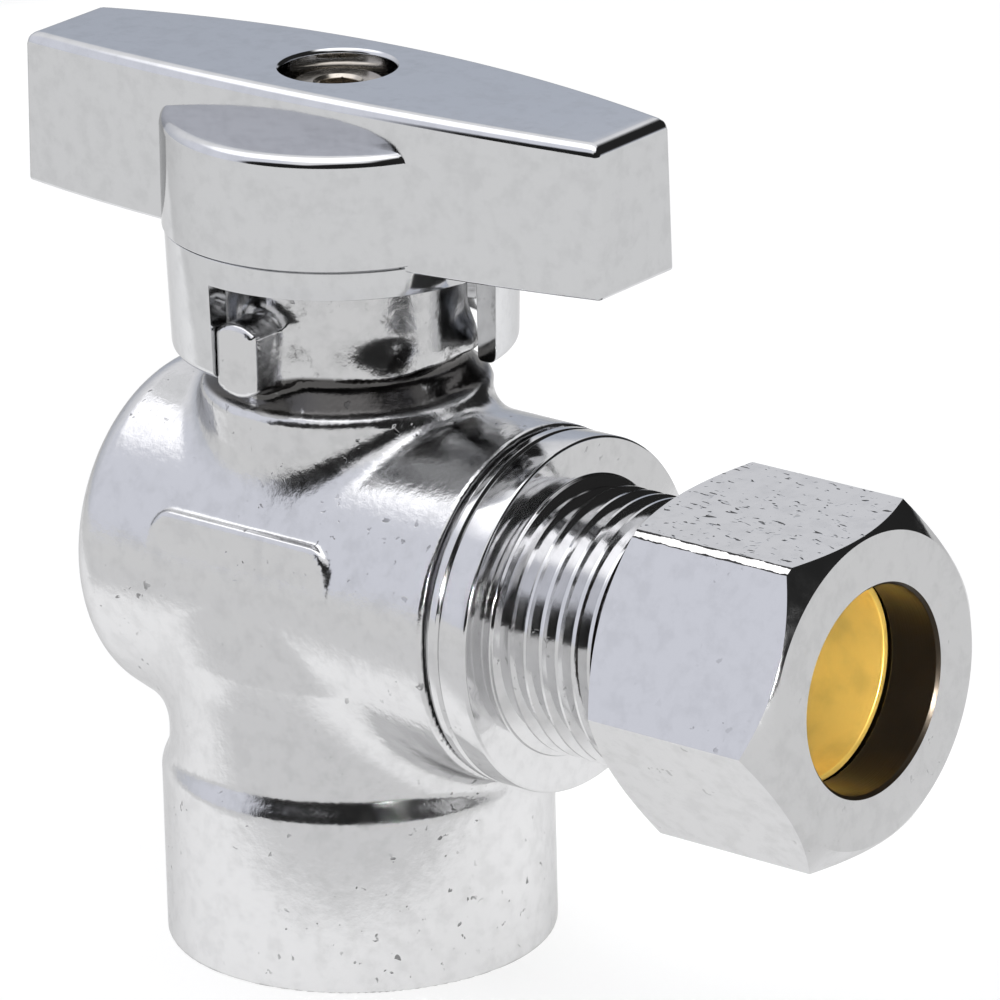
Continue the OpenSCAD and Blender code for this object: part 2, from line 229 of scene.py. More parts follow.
def brass(name, base=(0.92, 0.62, 0.14), roughness=0.34, ring_depth=0.03):
    """Turned brass: fine rings about the outlet axis, slightly uneven colour."""
    material, tree, shader, make = new_material(name, base, 0.75, roughness)
    place = make("ShaderNodeTexCoord").outputs["Object"]
    along = make("ShaderNodeMapping", {"Vector": place, "Scale": (9000.0, 120.0, 120.0)}).outputs["Vector"]
    tree.links.new(bump_of(make, noise_of(make, along, 1.0), ring_depth), shader.inputs["Normal"])
    stain = range_of(make, noise_of(make, place, STAIN_SCALE, 4.0), 0.4, 0.7)
    tree.links.new(colour_mix(make, stain, base, darker(base, 0.82)), shader.inputs["Base Color"])
    return material


def plastic(name, base, roughness, grain_depth=0.01):
    """Moulded plastic or rubber with a fine even grain."""
    material, tree, shader, make = new_material(name, base, 0.0, roughness)
    place = make("ShaderNodeTexCoord").outputs["Object"]
    grain = make("ShaderNodeTexNoise", {"Vector": place, "Scale": GRAIN_SCALE, "Detail": 4.0}).outputs["Fac"]
    bump = make("ShaderNodeBump", {"Strength": 0.5, "Distance": grain_depth * MM, "Height": grain})
    tree.links.new(bump.outputs["Normal"], shader.inputs["Normal"])
    tint = colour_mix(make, range_of(make, grain, 0.3, 0.7), base, darker(base, 0.88))
    tree.links.new(tint, shader.inputs["Base Color"])
    return material


# ---------------------------------------------------------------- mesh helpers

def new_object(name, vertices, faces, material, normals=None):
    """A mesh object from millimetre points, smooth shaded, with the given vertex normals if any."""
    mesh = bpy.data.meshes.new(name)
    mesh.from_pydata(np.asarray(vertices, float).tolist(), [], faces)
    mesh.validate()
    mesh.polygons.foreach_set("use_smooth", [True] * len(mesh.polygons))
    if normals is not None:
        mesh.normals_split_custom_set_from_vertices(normals.tolist())
    mesh.materials.append(material)
    piece = bpy.data.objects.new(name, mesh)
    bpy.context.collection.objects.link(piece)
    return piece


def rounded_outline(points, steps=4):
    """Rounds the corners of a closed outline. A point is (x, y) or (x, y, radius)."""
    out = []
    count = len(points)
    for i, point in enumerate(points):
        here = Vector(point[:2])
        radius = point[2] if len(point) > 2 else 0
        if radius == 0:
            out.append(tuple(here))
            continue
        to_last = (Vector(points[i - 1][:2]) - here).normalized()
        to_next = (Vector(points[(i + 1) % count][:2]) - here).normalized()
        half = to_last.angle(to_next) / 2
        reach = radius / math.tan(half)
        centre = here + (to_last + to_next).normalized() * (radius / math.sin(half))
        first, last = here + to_last * reach - centre, here + to_next * reach - centre
        turn = first.angle_signed(last)
        for step in range(steps + 1):
            spot = first.copy()
            spot.rotate(Matrix.Rotation(-turn * step / steps, 2))
            out.append(tuple(centre + spot))
    return out


def solid_of_faces(vertices, faces):
    """A bmesh from millimetre points, doubles merged and faces turned outward."""
    work = bmesh.new()
    made = [work.verts.new(v) for v in vertices]
    for face in faces:
        work.faces.new([made[i] for i in face])
    bmesh.ops.remove_doubles(work, verts=work.verts, dist=1e-5)
    bmesh.ops.dissolve_degenerate(work, dist=1e-6, edges=work.edges)
    bmesh.ops.delete(work, geom=[e for e in work.edges if e.is_wire], context="EDGES")
    bmesh.ops.recalc_face_normals(work, faces=work.faces)
    return work


def piece_from(name, work, material):
    """Turns a bmesh into an object, still in millimetres until it is finished."""
    mesh = bpy.data.meshes.new(name)
    work.to_mesh(mesh)
    work.free()
    mesh.materials.append(material)
    piece = bpy.data.objects.new(name, mesh)
    bpy.context.collection.objects.link(piece)
    shade(piece)
    return piece


def shade(piece, sharp_degrees=32.0):
    """Smooth shading that keeps real corners sharp."""
    piece.data.polygons.foreach_set("use_smooth", [True] * len(piece.data.polygons))
    piece.data.set_sharp_from_angle(angle=math.radians(sharp_degrees))


def settle(piece):
    """Applies every modifier of a piece to its mesh."""
    bpy.context.view_layer.update()
    graph = bpy.context.evaluated_depsgraph_get()
    mesh = bpy.data.meshes.new_from_object(piece.evaluated_get(graph))
    piece.modifiers.clear()
    old = piece.data
    piece.data = mesh
    mesh.name = piece.name
    bpy.data.meshes.remove(old)
    shade(piece)
    return piece


def combine(piece, tools, operation):
    """Exact boolean of a piece with throw-away tools."""
    for tool in tools:
        modifier = piece.modifiers.new("combine", "BOOLEAN")
        modifier.operation = operation
        modifier.solver = "EXACT"
        modifier.material_mode = "TRANSFER"
        modifier.object = tool
        settle(piece)
        bpy.data.objects.remove(tool)


def finish(piece, slot, body, *replaced):
    """Puts a finished piece into metres and on its body; slot is not used."""
    piece.data.transform(Matrix.Scale(MM, 4))
    if replaced:
        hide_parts(*replaced)
    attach(piece, body)


def even_normals(piece):
    """Flat faces shade flat and bevels shade round."""
    modifier = piece.modifiers.new("normals", "WEIGHTED_NORMAL")
    modifier.keep_sharp = True
    modifier.weight = 100


def about_z(r, height, angle):
    return (r * math.cos(angle), r * math.sin(angle), height)


def about_x(r, along, angle):
    return (along, r * math.cos(angle), OUTLET_Z + r * math.sin(angle))


def lathe(name, outline, material, place=about_z, segments=192):
    """Solid of revolution of a closed outline of (radius, distance along the axis[, rounding])."""
    loop = rounded_outline(outline)
    count = len(loop)
    vertices = [place(r, t, math.tau * s / segments) for s in range(segments) for r, t in loop]
    faces = [(s * count + i, s * count + (i + 1) % count,
              ((s + 1) % segments) * count + (i + 1) % count, ((s + 1) % segments) * count + i)
             for s in range(segments) for i in range(count)]
    return piece_from(name, solid_of_faces(vertices, faces), material)


def helix_ridge(name, material, place, start, turns, pitch, base_r, crest_r, base_w, crest_w,
                taper=0.0, fade=0.35, segments=96):
    """One thread ridge, right-handed, that grows out of its root cylinder and fades at both ends."""
    steps = int(turns * segments)
    inward = crest_r < base_r
    sunk = 0.12 if inward else -0.12
    vertices, faces = [], []
    for step in range(steps + 1):
        turned = step / segments
        grown = min(1.0, turned / fade, (turns - turned) / fade)
        grown = max(grown, 0.02)
        along = start + pitch * turned
        root = base_r - taper * (along - start)
        tip = root + (crest_r - base_r) * grown
        half_base, half_crest = base_w * pitch / 2, crest_w * pitch / 2
        for r, offset in ((root + sunk, -half_base), (root, -half_base), (tip, -half_crest),
                          (tip, half_crest), (root, half_base), (root + sunk, half_base)):
            vertices.append(place(r, along + offset, math.tau * turned))
    for step in range(steps):
        for i in range(6):
            j = (i + 1) % 6
            faces.append((step * 6 + i, step * 6 + j, (step + 1) * 6 + j, (step + 1) * 6 + i))
    faces.append(tuple(range(6)))
    faces.append(tuple(steps * 6 + i for i in reversed(range(6))))
    return piece_from(name, solid_of_faces(vertices, faces), material)


def box_piece(low, high):
    """A plain block, used only as a boolean tool."""
    corners = [(x, y, z) for z in (low[2], high[2]) for y in (low[1], high[1]) for x in (low[0], high[0])]
    faces = [(0, 2, 3, 1), (4, 5, 7, 6), (0, 1, 5, 4), (2, 6, 7, 3), (0, 4, 6, 2), (1, 3, 7, 5)]
    return piece_from("tool", solid_of_faces(corners, faces), CHROME_HANDLE)


# ---------------------------------------------------------------- cast shapes from distances

def round_bar(p, axis, r, low, high, edge=0.0, centre=(0.0, 0.0)):
    """Distance to a cylinder along an axis, from low to high, with rounded rims."""
    a, b = [i for i in range(3) if i != axis]
    outward = np.hypot(p[:, a] - centre[0], p[:, b] - centre[1]) - r + edge
    beyond = np.abs(p[:, axis] - (low + high) / 2) - (high - low) / 2 + edge
    outside = np.hypot(np.maximum(outward, 0), np.maximum(beyond, 0))
    return np.minimum(np.maximum(outward, beyond), 0) + outside - edge


def blend_of(a, b, reach):
    """Union of two shapes with a fillet of about the given reach."""
    mix = np.clip(0.5 + 0.5 * (b - a) / reach, 0, 1)
    return b * (1 - mix) + a * mix - reach * mix * (1 - mix)


def meet_of(a, b, reach):
    """Intersection of two shapes with a rounded edge."""
    return -blend_of(-a, -b, reach)


def leg_distance(radius, z):
    """Leg and inlet collar; the leg draws in upwards, so that it ends inside the barrel."""
    foot = COLLAR_H + LEDGE_H
    ledge = np.clip((foot - z) / LEDGE_H, 0, 1)
    rise = np.clip((z - foot) / (LEG_TOP - foot), 0, 1)
    shoulder = (INLET_R - LEG_R) * ledge ** 2 * (3 - 2 * ledge)
    wide = LEG_R + shoulder - (LEG_R - BARREL_R + LEG_SINK) * rise
    return meet_of(np.maximum((radius - wide) * LEG_SLOPE, z - LEG_TOP), -z, 0.4)


def with_pad(shape, x, y, z, side):
    """Adds the raised pad on one side; below its middle it sinks into the barrel."""
    lean = math.radians(PAD_LEAN)
    flat = side * y * math.cos(lean) + (z - OUTLET_Z) * math.sin(lean) - PAD_REACH
    below = side * y * math.sin(lean) - (z - OUTLET_Z) * math.cos(lean)
    sinking = np.hypot(y, z - OUTLET_Z) - PAD_REACH + PAD_SINK * below
    across = np.maximum(np.abs(x) - PAD_HALF_W + PAD_CORNER, 0)
    upright = np.maximum(z - PAD_HIGH + PAD_CORNER, 0)
    rim = np.hypot(across, upright) - PAD_CORNER
    plate = meet_of(rim, np.where(below > 0, sinking, flat), 0.3)
    edge = PAD_FILLET * np.clip(1 + rim, 0.05, 1)
    return blend_of(shape, np.maximum(plate, PAD_ROOT - side * y), edge)


def with_neck(shape, p, radius):
    """Adds the flare on top of the boss, the hexagon with its blunt corners and the round neck."""
    x, y, z = p.T
    flare = np.maximum(radius - FLARE_R - np.maximum(HEX_LOW - z, 0) * FLARE_SLOPE, z - HEX_LOW - 0.5)
    shape = blend_of(shape, np.maximum(flare, BOSS_TOP - 0.4 - z), 0.35)
    hexagon = np.max([x * math.cos(math.radians(a)) + y * math.sin(math.radians(a))
                      for a in range(0, 360, 60)], axis=0) - NECK_HEX / 2
    hexagon = meet_of(hexagon, radius - HEX_CORNER_R, 0.35)
    crown = (radius - NECK_HEX / 2) * 0.82 + (z - HEX_HIGH) * 0.57
    hexagon = meet_of(meet_of(hexagon, crown, 1.1), HEX_LOW - z, 0.25)
    neck = round_bar(p, 2, NECK_HEX / 2 - 0.05, OUTLET_Z, NECK_TOP, 0.3)
    return blend_of(np.minimum(shape, hexagon), neck, 0.25)


def peg_distance(x, y, z):
    """Stop peg: an oval bar that points to -Y."""
    oval = np.maximum(np.hypot(x, z - PEG_Z) - PEG_HALF_H, np.abs(x) - PEG_HALF_W)
    return meet_of(np.maximum(oval, y), -PEG_REACH - y, 0.5)


def bores_of(p):
    """Distances to the inlet, waterway, ball chamber, plug hole, stem well and neck bore."""
    on_outlet = (0, OUTLET_Z)
    return [round_bar(p, 2, INLET_CUT_R, BELOW_MOUTH, INLET_DEPTH),
            round_bar(p, 2, WATERWAY_R, INSIDE_LEG, OUTLET_Z),
            round_bar(p, 0, CHAMBER_R, -CHAMBER_BACK, PAST_FRONT, 0.2, on_outlet),
            round_bar(p, 0, PLUG_R, PLUG_START, PAST_FRONT, 0.0, on_outlet),
            round_bar(p, 2, STEM_WELL_R, OUTLET_Z, WASHER_TOP),
            round_bar(p, 2, NECK_BORE_R, OUTLET_Z, PAST_TOP)]


def casting_distance(p):
    """The forged body: leg, collar, barrel, pads, boss, neck and stop peg, bored out."""
    x, y, z = p.T
    radius = np.hypot(x, y)
    barrel = round_bar(p, 0, BARREL_R, -BARREL_BACK, BARREL_FRONT + 5, BACK_EDGE, (0, OUTLET_Z))
    barrel = meet_of(barrel, x - BARREL_FRONT, 0.3)
    under = np.clip((OUTLET_Z - z) / FILLET_FADE, NO_FILLET, 1)
    shape = blend_of(leg_distance(radius, z), barrel, LEG_FILLET * under)
    for side in (-1, 1):
        shape = with_pad(shape, x, y, z, side)
    boss = round_bar(p, 2, BOSS_R, OUTLET_Z, BOSS_TOP, 0.45)
    over = np.clip((z - OUTLET_Z - 1) / FILLET_FADE, NO_FILLET, 1)
    shape = blend_of(shape, boss, BOSS_FILLET * over)
    shape = with_neck(shape, p, radius)
    shape = blend_of(shape, peg_distance(x, y, z), PEG_FILLET)
    for bore in bores_of(p):
        shape = np.maximum(shape, -bore)
    return shape


def slope_of(distance, p, reach=0.02):
    """Gradient of a distance function."""
    steps = np.eye(3) * reach
    return np.stack([(distance(p + s) - distance(p - s)) / (2 * reach) for s in steps], axis=1)


def sampled(distance, axes):
    """Distances on a grid, taken one plane at a time."""
    value = np.empty(tuple(len(a) for a in axes))
    for i, x in enumerate(axes[0]):
        plane = np.stack(np.meshgrid([x], axes[1], axes[2], indexing="ij"), -1).reshape(-1, 3)
        value[i] = distance(plane).reshape(value.shape[1:])
    return value


def crossed_cells(value):
    """Which cells the surface crosses, and the mean of each one's edge crossings in grid steps."""
    cells = tuple(n - 1 for n in value.shape)
    total, weight = np.zeros(cells + (3,)), np.zeros(cells)

    def corner(offset):
        return value[tuple(slice(o, o + n) for o, n in zip(offset, cells))]

    for axis in range(3):
        for u in (0, 1):
            for v in (0, 1):
                start = np.insert(np.array([u, v]), axis, 0)
                a, b = corner(start), corner(np.insert(np.array([u, v]), axis, 1))
                crossed = (a < 0) != (b < 0)
                along = np.where(crossed, a / np.where(crossed, a - b, 1), 0)
                for k in range(3):
                    total[..., k] += crossed * (start[k] + (along if k == axis else 0))
                weight += crossed
    used = weight > 0
    return used, np.argwhere(used) + total[used] / weight[used][:, None]


def quads_between(inside, index):
    """One outward quad for every grid edge that runs through the surface."""
    shape = inside.shape
    faces = []
    for axis in range(3):
        u, v = [i for i in range(3) if i != axis]
        first = [slice(1, n - 1) for n in shape]
        first[axis] = slice(0, shape[axis] - 1)
        second = list(first)
        second[axis] = slice(1, shape[axis])
        a, b = inside[tuple(first)], inside[tuple(second)]
        for leaving in (True, False):
            where = np.argwhere((a & ~b) if leaving else (~a & b))
            where[:, u] += 1
            where[:, v] += 1
            ring = []
            for du, dv in ((-1, -1), (0, -1), (0, 0), (-1, 0)):
                cell = where.copy()
                cell[:, u] += du
                cell[:, v] += dv
                ring.append(index[tuple(cell.T)])
            quads = np.stack(ring, 1)
            flip = leaving if axis != 1 else not leaving
            faces.append(quads if flip else quads[:, ::-1])
    return np.concatenate(faces).tolist()


def surface_of(distance, low, high, step):
    """Quads over the zero surface of a distance function, with exact normals (surface nets)."""
    axes = [np.arange(a - 1.5 * step, b + 2.5 * step, step) for a, b in zip(low, high)]
    value = sampled(distance, axes)
    used, spots = crossed_cells(value)
    index = -np.ones(used.shape, int)
    index[used] = np.arange(used.sum())
    points = np.array([a[0] for a in axes]) + step * spots
    for _ in range(4):
        slope = slope_of(distance, points)
        size = np.maximum((slope ** 2).sum(1), 0.05)
        push = np.clip(distance(points) / size, -0.3 * step, 0.3 * step)
        points = points - slope * push[:, None]
    normals = slope_of(distance, points)
    normals /= np.maximum(np.linalg.norm(normals, axis=1), 1e-9)[:, None]
    return points, quads_between(value < 0, index), normals


# ---------------------------------------------------------------- the pieces

def make_casting():
    """Forged body, replaced whole so that its fillets, pads and neck are real shapes."""
    low, high = (-BARREL_BACK, -12.7, 0), (BARREL_FRONT, 12.7, NECK_TOP)
    points, faces, normals = surface_of(casting_distance, low, high, GRID_STEP)
    casting = new_object("valve_casting", points, faces, CHROME_CAST, normals)
    finish(casting, "cast_chrome", "body", "valve_body")


def make_inlet_thread():
    """Tapered pipe thread inside the inlet, on a thin liner with a lead-in chamfer."""
    pitch, taper, minor, depth = 1.814, 1 / 32, 9.15, 1.25
    major = minor + depth
    end = INLET_DEPTH - 0.01
    outline = [(LINER_R, 0.04), (LINER_R, end), (major - 0.42, end), (major, 0.55)]
    liner = lathe("inlet_liner", outline, CHROME_CAST)
    ridge = helix_ridge("inlet_thread", CHROME_CAST, about_z, 1.1, 6.2, pitch, major, minor,
                        0.95, 0.12, taper)
    finish(liner, "cast_chrome", "body")
    finish(ridge, "cast_chrome", "body")


def make_adapter():
    """Turned outlet adapter with its flange, groove and real helical thread."""
    groove = 16.45
    plug_r, ring_r, ring_start, ring_end = PLUG_R - 0.1, 8.5, 13.4, 14.7
    outline = [
        (WATERWAY_R, PLUG_START + 0.05), (CHAMBER_R - 0.1, PLUG_START + 0.05), (plug_r, PLUG_START + 1.2),
        (plug_r, ring_start), (ring_r, ring_start), (ring_r, ring_end), (plug_r, ring_end),
        (plug_r, BARREL_FRONT + 0.02),
        (FLANGE_R - 0.9, BARREL_FRONT + 0.02), (FLANGE_R - 0.9, BARREL_FRONT + 0.3),
        (FLANGE_R - 0.1, BARREL_FRONT + 0.36, 0.05), (FLANGE_R, BARREL_FRONT + 0.6, 0.08),
        (FLANGE_R, groove - 0.2, 0.05), (FLANGE_R - 0.22, groove), (FLANGE_R, groove + 0.2, 0.05),
        (FLANGE_R, FLANGE_END, 0.22), (9.08, FLANGE_END, 0.1), (9.02, FLANGE_END + 0.25, 0.05),
        (THREAD_ROOT_R, FLANGE_END + 0.75, 0.1), (THREAD_ROOT_R, ADAPTER_END - 0.35, 0.1),
        (THREAD_ROOT_R - 0.4, ADAPTER_END, 0.08), (SOCKET_R + MOUTH_L, ADAPTER_END, 0.05),
        (SOCKET_R, ADAPTER_END - MOUTH_L, 0.1), (SOCKET_R, SOCKET_STOP), (WATERWAY_R, SOCKET_STOP)]
    turned = lathe("outlet_adapter_turned", outline, CHROME_TURNED, about_x)
    thread = helix_ridge("outlet_thread", CHROME_TURNED, about_x, FLANGE_END + 0.65, 9.3, THREAD_PITCH,
                         THREAD_ROOT_R, THREAD_R, 0.86, 0.14)
    finish(turned, "turned_chrome", "body", "outlet_adapter")
    finish(thread, "turned_chrome", "body")


def hexagon_prism(across, start, end, turned):
    """Hexagon bar along the outlet axis; turned is where its corners stand, from +Z towards -Y."""
    corner = across / 2 / math.cos(math.radians(30))
    angles = [math.radians(90 + turned + 60 * k) for k in range(6)]
    ring = [(corner * math.cos(a), corner * math.sin(a)) for a in angles]
    vertices = [(x, y, OUTLET_Z + z) for x in (start, end) for y, z in ring]
    faces = [tuple(range(6)), tuple(range(11, 5, -1))]
    faces += [(i, (i + 1) % 6, (i + 1) % 6 + 6, i + 6) for i in range(6)]
    return solid_of_faces(vertices, faces)


def corner_wear(corner_angle, cut_r, roughness, seed, columns=70, rows=14):
    """A rough-faced slab that takes the plating off one of the nut's corners."""
    half_w, far = 2.2, 4.0
    out = np.array([0.0, -math.sin(corner_angle), math.cos(corner_angle)])
    side = np.array([0.0, math.cos(corner_angle), math.sin(corner_angle)])
    middle = np.array([0.0, 0.0, OUTLET_Z])
    vertices = []
    for layer in (0, 1):
        for i in range(columns + 1):
            along = NUT_START - 1 + (NUT_END - NUT_START + 2) * i / columns
            level = middle + np.array([along, 0, 0])
            for j in range(rows + 1):
                across = -half_w + 2 * half_w * j / rows
                lift = far
                if layer == 0:
                    spot = Vector((along * 1.7 + seed, across * 2.2, seed))
                    lift = roughness * (noise.noise(spot) + 0.6 * noise.noise(spot * 3.1))
                vertices.append(tuple(level + side * across + out * (cut_r + lift)))
    count, width = (columns + 1) * (rows + 1), rows + 1
    faces = []
    for base, flip in ((0, False), (count, True)):
        for i in range(columns):
            for j in range(rows):
                quad = [base + i * width + j, base + i * width + j + 1,
                        base + (i + 1) * width + j + 1, base + (i + 1) * width + j]
                faces.append(tuple(reversed(quad)) if flip else tuple(quad))
    rim = ([i * width for i in range(columns + 1)] + [columns * width + j for j in range(1, rows + 1)]
           + [i * width + rows for i in range(columns - 1, -1, -1)] + [j for j in range(rows - 1, 0, -1)])
    for a, b in zip(rim, rim[1:] + rim[:1]):
        faces.append((a, b, b + count, a + count))
    return piece_from("wear", solid_of_faces(vertices, faces), CHROME_WORN)


def make_nut():
    """Hexagon nut: chamfered bar, worn corners, cone and helical thread inside."""
    blank = hexagon_prism(NUT_HEX, NUT_START - 1, NUT_END + 1, NUT_TURNED)
    bar = piece_from("compression_nut_hex", blank, CHROME_NUT)
    far_r, rear_cut, front_cut = 12.3, 1.35, 1.7
    worn_r, wear_depth, wear_seed = 11.70, 0.03, 3.0
    chamfer = lathe("chamfer", [
        (0, NUT_START), (NUT_FACE_R, NUT_START), (far_r, NUT_START + rear_cut), (far_r, NUT_END - front_cut),
        (NUT_FACE_R, NUT_END), (0, NUT_END)], CHROME_NUT, about_x, 256)
    combine(bar, [chamfer], "INTERSECT")
    wear = corner_wear(math.radians(NUT_TURNED + 60), worn_r, wear_depth, wear_seed)
    combine(bar, [wear], "DIFFERENCE")
    bevel = bar.modifiers.new("edges", "BEVEL")
    bevel.width, bevel.segments, bevel.limit_method = 0.08, 2, "ANGLE"
    bevel.angle_limit = math.radians(22)
    settle(bar)
    bore_r = THREAD_R + 0.1
    cone_l = bore_r - NUT_HOLE_R
    rim = 0.22
    # The cutter gives the bore the near-black brass: painted shade inside the nut.
    hole = lathe("hole", [
        (0, NUT_START - 1), (bore_r + 1.4, NUT_START - 1), (bore_r, NUT_START + 0.45),
        (bore_r, NUT_END - NUT_LIP - cone_l), (NUT_HOLE_R, NUT_END - NUT_LIP, 0.1),
        (NUT_HOLE_R, NUT_END - rim, 0.12), (NUT_HOLE_R + 1 + rim, NUT_END + 1), (0, NUT_END + 1)],
        BRASS_PAINTED_SHADE, about_x, 192)
    combine(bar, [hole], "DIFFERENCE")
    even_normals(bar)
    # The thread inside the nut is near-black brass as well: painted shade.
    thread = helix_ridge("nut_thread", BRASS_PAINTED_SHADE, about_x, FLANGE_END + 0.65 + THREAD_PITCH * 7.5, 5.0,
                         THREAD_PITCH, bore_r, THREAD_ROOT_R + 0.07, 0.8, 0.1)
    finish(bar, "turned_chrome", "nut", "compression_nut")
    finish(thread, "turned_chrome", "nut")


def make_sleeve():
    """Brass compression sleeve with tapered ends."""
    in_r = SOCKET_R + 0.02
    sleeve = lathe("compression_sleeve_turned", [
        (in_r, SLEEVE_START, 0.05), (in_r + 0.28, SLEEVE_START, 0.06), (in_r + 0.85, SLEEVE_START + 1.1, 0.3),
        (in_r + 0.85, SLEEVE_END - 0.8, 0.3), (in_r + 0.45, SLEEVE_END, 0.1), (in_r, SLEEVE_END, 0.08)],
        BRASS_BARE, about_x)
    finish(sleeve, "bare_brass", "sleeve", "compression_sleeve")


def lever_outline(inset, count=36):
    """Plan of the lever: two long arcs with square ends, turned to its lead angle."""
    rise = (LEVER_MID_W - LEVER_END_W) / 2
    half, mid_w = LEVER_L / 2 - inset, LEVER_MID_W / 2 - inset
    arc_r = ((LEVER_L / 2) ** 2 + rise ** 2) / (2 * rise)
    steps = [half * (2 * i / count - 1) for i in range(count + 1)]
    lower = [(x, arc_r - mid_w - math.sqrt(arc_r ** 2 - x ** 2)) for x in steps]
    upper = [(x, -y) for x, y in reversed(lower)]
    lead = math.radians(LEVER_LEAD)
    turned = []
    for x, y in lower + upper:
        x += LEVER_SHIFT
        turned.append((x * math.cos(lead) - y * math.sin(lead), x * math.sin(lead) + y * math.cos(lead)))
    return turned


def make_lever_block():
    """The lever: crowned top, slight draft, upper edges well rounded, the others only broken."""
    low, high = lever_outline(0), lever_outline(LEVER_DRAFT)
    count = len(low)
    vertices = [(x, y, LEVER_LOW) for x, y in low]
    vertices += [(x, y, LEVER_TOP - LEVER_CROWN * (2 * x / LEVER_L) ** 2) for x, y in high]
    faces = [tuple(range(count))]
    faces += [(i, (i + 1) % count, (i + 1) % count + count, i + count) for i in range(count)]
    faces += [(count + i, count + i + 1, 2 * count - 2 - i, 2 * count - 1 - i) for i in range(count // 2 - 1)]
    work = solid_of_faces(vertices, faces)
    weights = work.edges.layers.float.new("bevel_weight_edge")
    share_with_tops = (0.3, 0.45, 1.0)
    for edge in work.edges:
        tops = sum(v.co.z > LEVER_TOP - 1 for v in edge.verts)
        if edge.calc_face_angle(0) >= math.radians(30):
            edge[weights] = share_with_tops[tops]
    block = piece_from("handle_cast", work, CHROME_HANDLE)
    bevel = block.modifiers.new("edges", "BEVEL")
    bevel.limit_method, bevel.width, bevel.segments = "WEIGHT", LEVER_EDGE, 6
    return settle(block)


def make_handle():
    """Die-cast handle: lever, hub and skirt with two gaps, joined into one solid."""
    handle = make_lever_block()
    hub = lathe("hub", [
        (0, SKIRT_CEILING), (SKIRT_R - 0.35, SKIRT_CEILING), (SKIRT_R - 0.35, HUB_LOW + 0.04),
        (HUB_R - 0.05, HUB_LOW + 0.04, 0.08), (HUB_R - 0.12, HUB_HIGH, 0.75), (0, HUB_HIGH)],
        CHROME_HANDLE, segments=256)
    skirt = lathe("skirt", [
        (SKIRT_IN_R, SKIRT_LOW, 0.3), (SKIRT_R - 0.25, SKIRT_LOW, 0.6), (SKIRT_R, HUB_LOW - 0.09, 0.05),
        (SKIRT_IN_R, HUB_LOW - 0.09)], CHROME_HANDLE, segments=256)
    stop = PEG_HALF_W + 0.05
    for side in (1, -1):
        near = sorted((-stop * side, 2 * SKIRT_R * side))
        far = sorted((-2 * SKIRT_R * side, stop * side))
        window = box_piece((near[0], far[0], SKIRT_LOW - 2), (near[1], far[1], WINDOW_HIGH))
        combine(skirt, [window], "DIFFERENCE")
    bevel = skirt.modifiers.new("edges", "BEVEL")
    bevel.limit_method, bevel.width, bevel.segments = "ANGLE", 0.22, 3
    bevel.angle_limit = math.radians(40)
    settle(skirt)
    combine(handle, [hub, skirt], "UNION")
    recess = lathe("recess", [
        (0, RECESS_FLOOR), (RECESS_R, RECESS_FLOOR, 0.3), (RECESS_R, LEVER_TOP - 0.18, 0.3),
        (RECESS_R + 1.2, LEVER_TOP + 1), (0, LEVER_TOP + 1)], CHROME_HANDLE)
    shaft_r, shaft_high, square, square_high, low = 2.1, 55.1, 2.55, 53.1, 46
    clear = lathe("clear", [(0, low), (shaft_r, low), (shaft_r, shaft_high), (0, shaft_high)], CHROME_HANDLE)
    socket = box_piece((-square, -square, low), (square, square, square_high))
    combine(handle, [clear, socket, recess], "DIFFERENCE")
    even_normals(handle)
    finish(handle, "handle_chrome", "lever", "handle")


def make_screw():
    """Socket head screw sunk in the lever, with its hexagon socket and thread."""
    tip, shank_r = RECESS_FLOOR - 7, 1.45
    screw = lathe("handle_screw_head", [
        (0, tip), (shank_r - 0.3, tip), (shank_r, tip + 0.4), (shank_r, RECESS_FLOOR),
        (HEAD_R, RECESS_FLOOR, 0.1), (HEAD_R, HEAD_HIGH, 0.3), (0, HEAD_HIGH)], STEEL_SCREW, segments=128)
    corner = HEAD_HEX / 2 / math.cos(math.radians(30))
    flare_low, flare_high = HEAD_HIGH - 0.2, HEAD_HIGH + 0.35
    flare = lathe("flare", [(0, flare_low), (corner - 0.05, flare_low), (corner + 0.5, flare_high),
                            (0, flare_high)], STEEL_SCREW, segments=96)
    key = lathe("key", [(0, HEAD_HIGH - 1.7), (corner, HEAD_HIGH - 1.7), (corner, HEAD_HIGH + 1),
                        (0, HEAD_HIGH + 1)], STEEL_SCREW, segments=6)
    combine(screw, [key, flare], "DIFFERENCE")
    even_normals(screw)
    thread = helix_ridge("handle_screw_thread", STEEL_SCREW, about_z, tip + 0.5, 8.0, 0.8, shank_r, 1.7,
                         0.85, 0.15, segments=48)
    finish(screw, "screw_steel", "lever", "handle_screw")
    finish(thread, "screw_steel", "lever")


def finish_hidden_parts():
    """The sealed inner parts keep their CAD meshes and get their real materials."""
    finishes = {"ball": CHROME_BALL, "stem": BRASS_BARE, "ball_seat_rear": PTFE, "ball_seat_outlet": PTFE,
                "stem_thrust_washer": PTFE, "adapter_o_ring": RUBBER, "stem_o_ring_lower": RUBBER,
                "stem_o_ring_upper": RUBBER}
    for name, material in finishes.items():
        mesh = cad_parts[name].data
        mesh.materials.clear()
        mesh.materials.append(material)


# ---------------------------------------------------------------- stage, light and camera

def direction(azimuth, elevation):
    """Unit vector: azimuth from +X towards +Y, elevation from the floor, in degrees."""
    a, e = math.radians(azimuth), math.radians(elevation)
    return (math.cos(a) * math.cos(e), math.sin(a) * math.cos(e), math.sin(e))


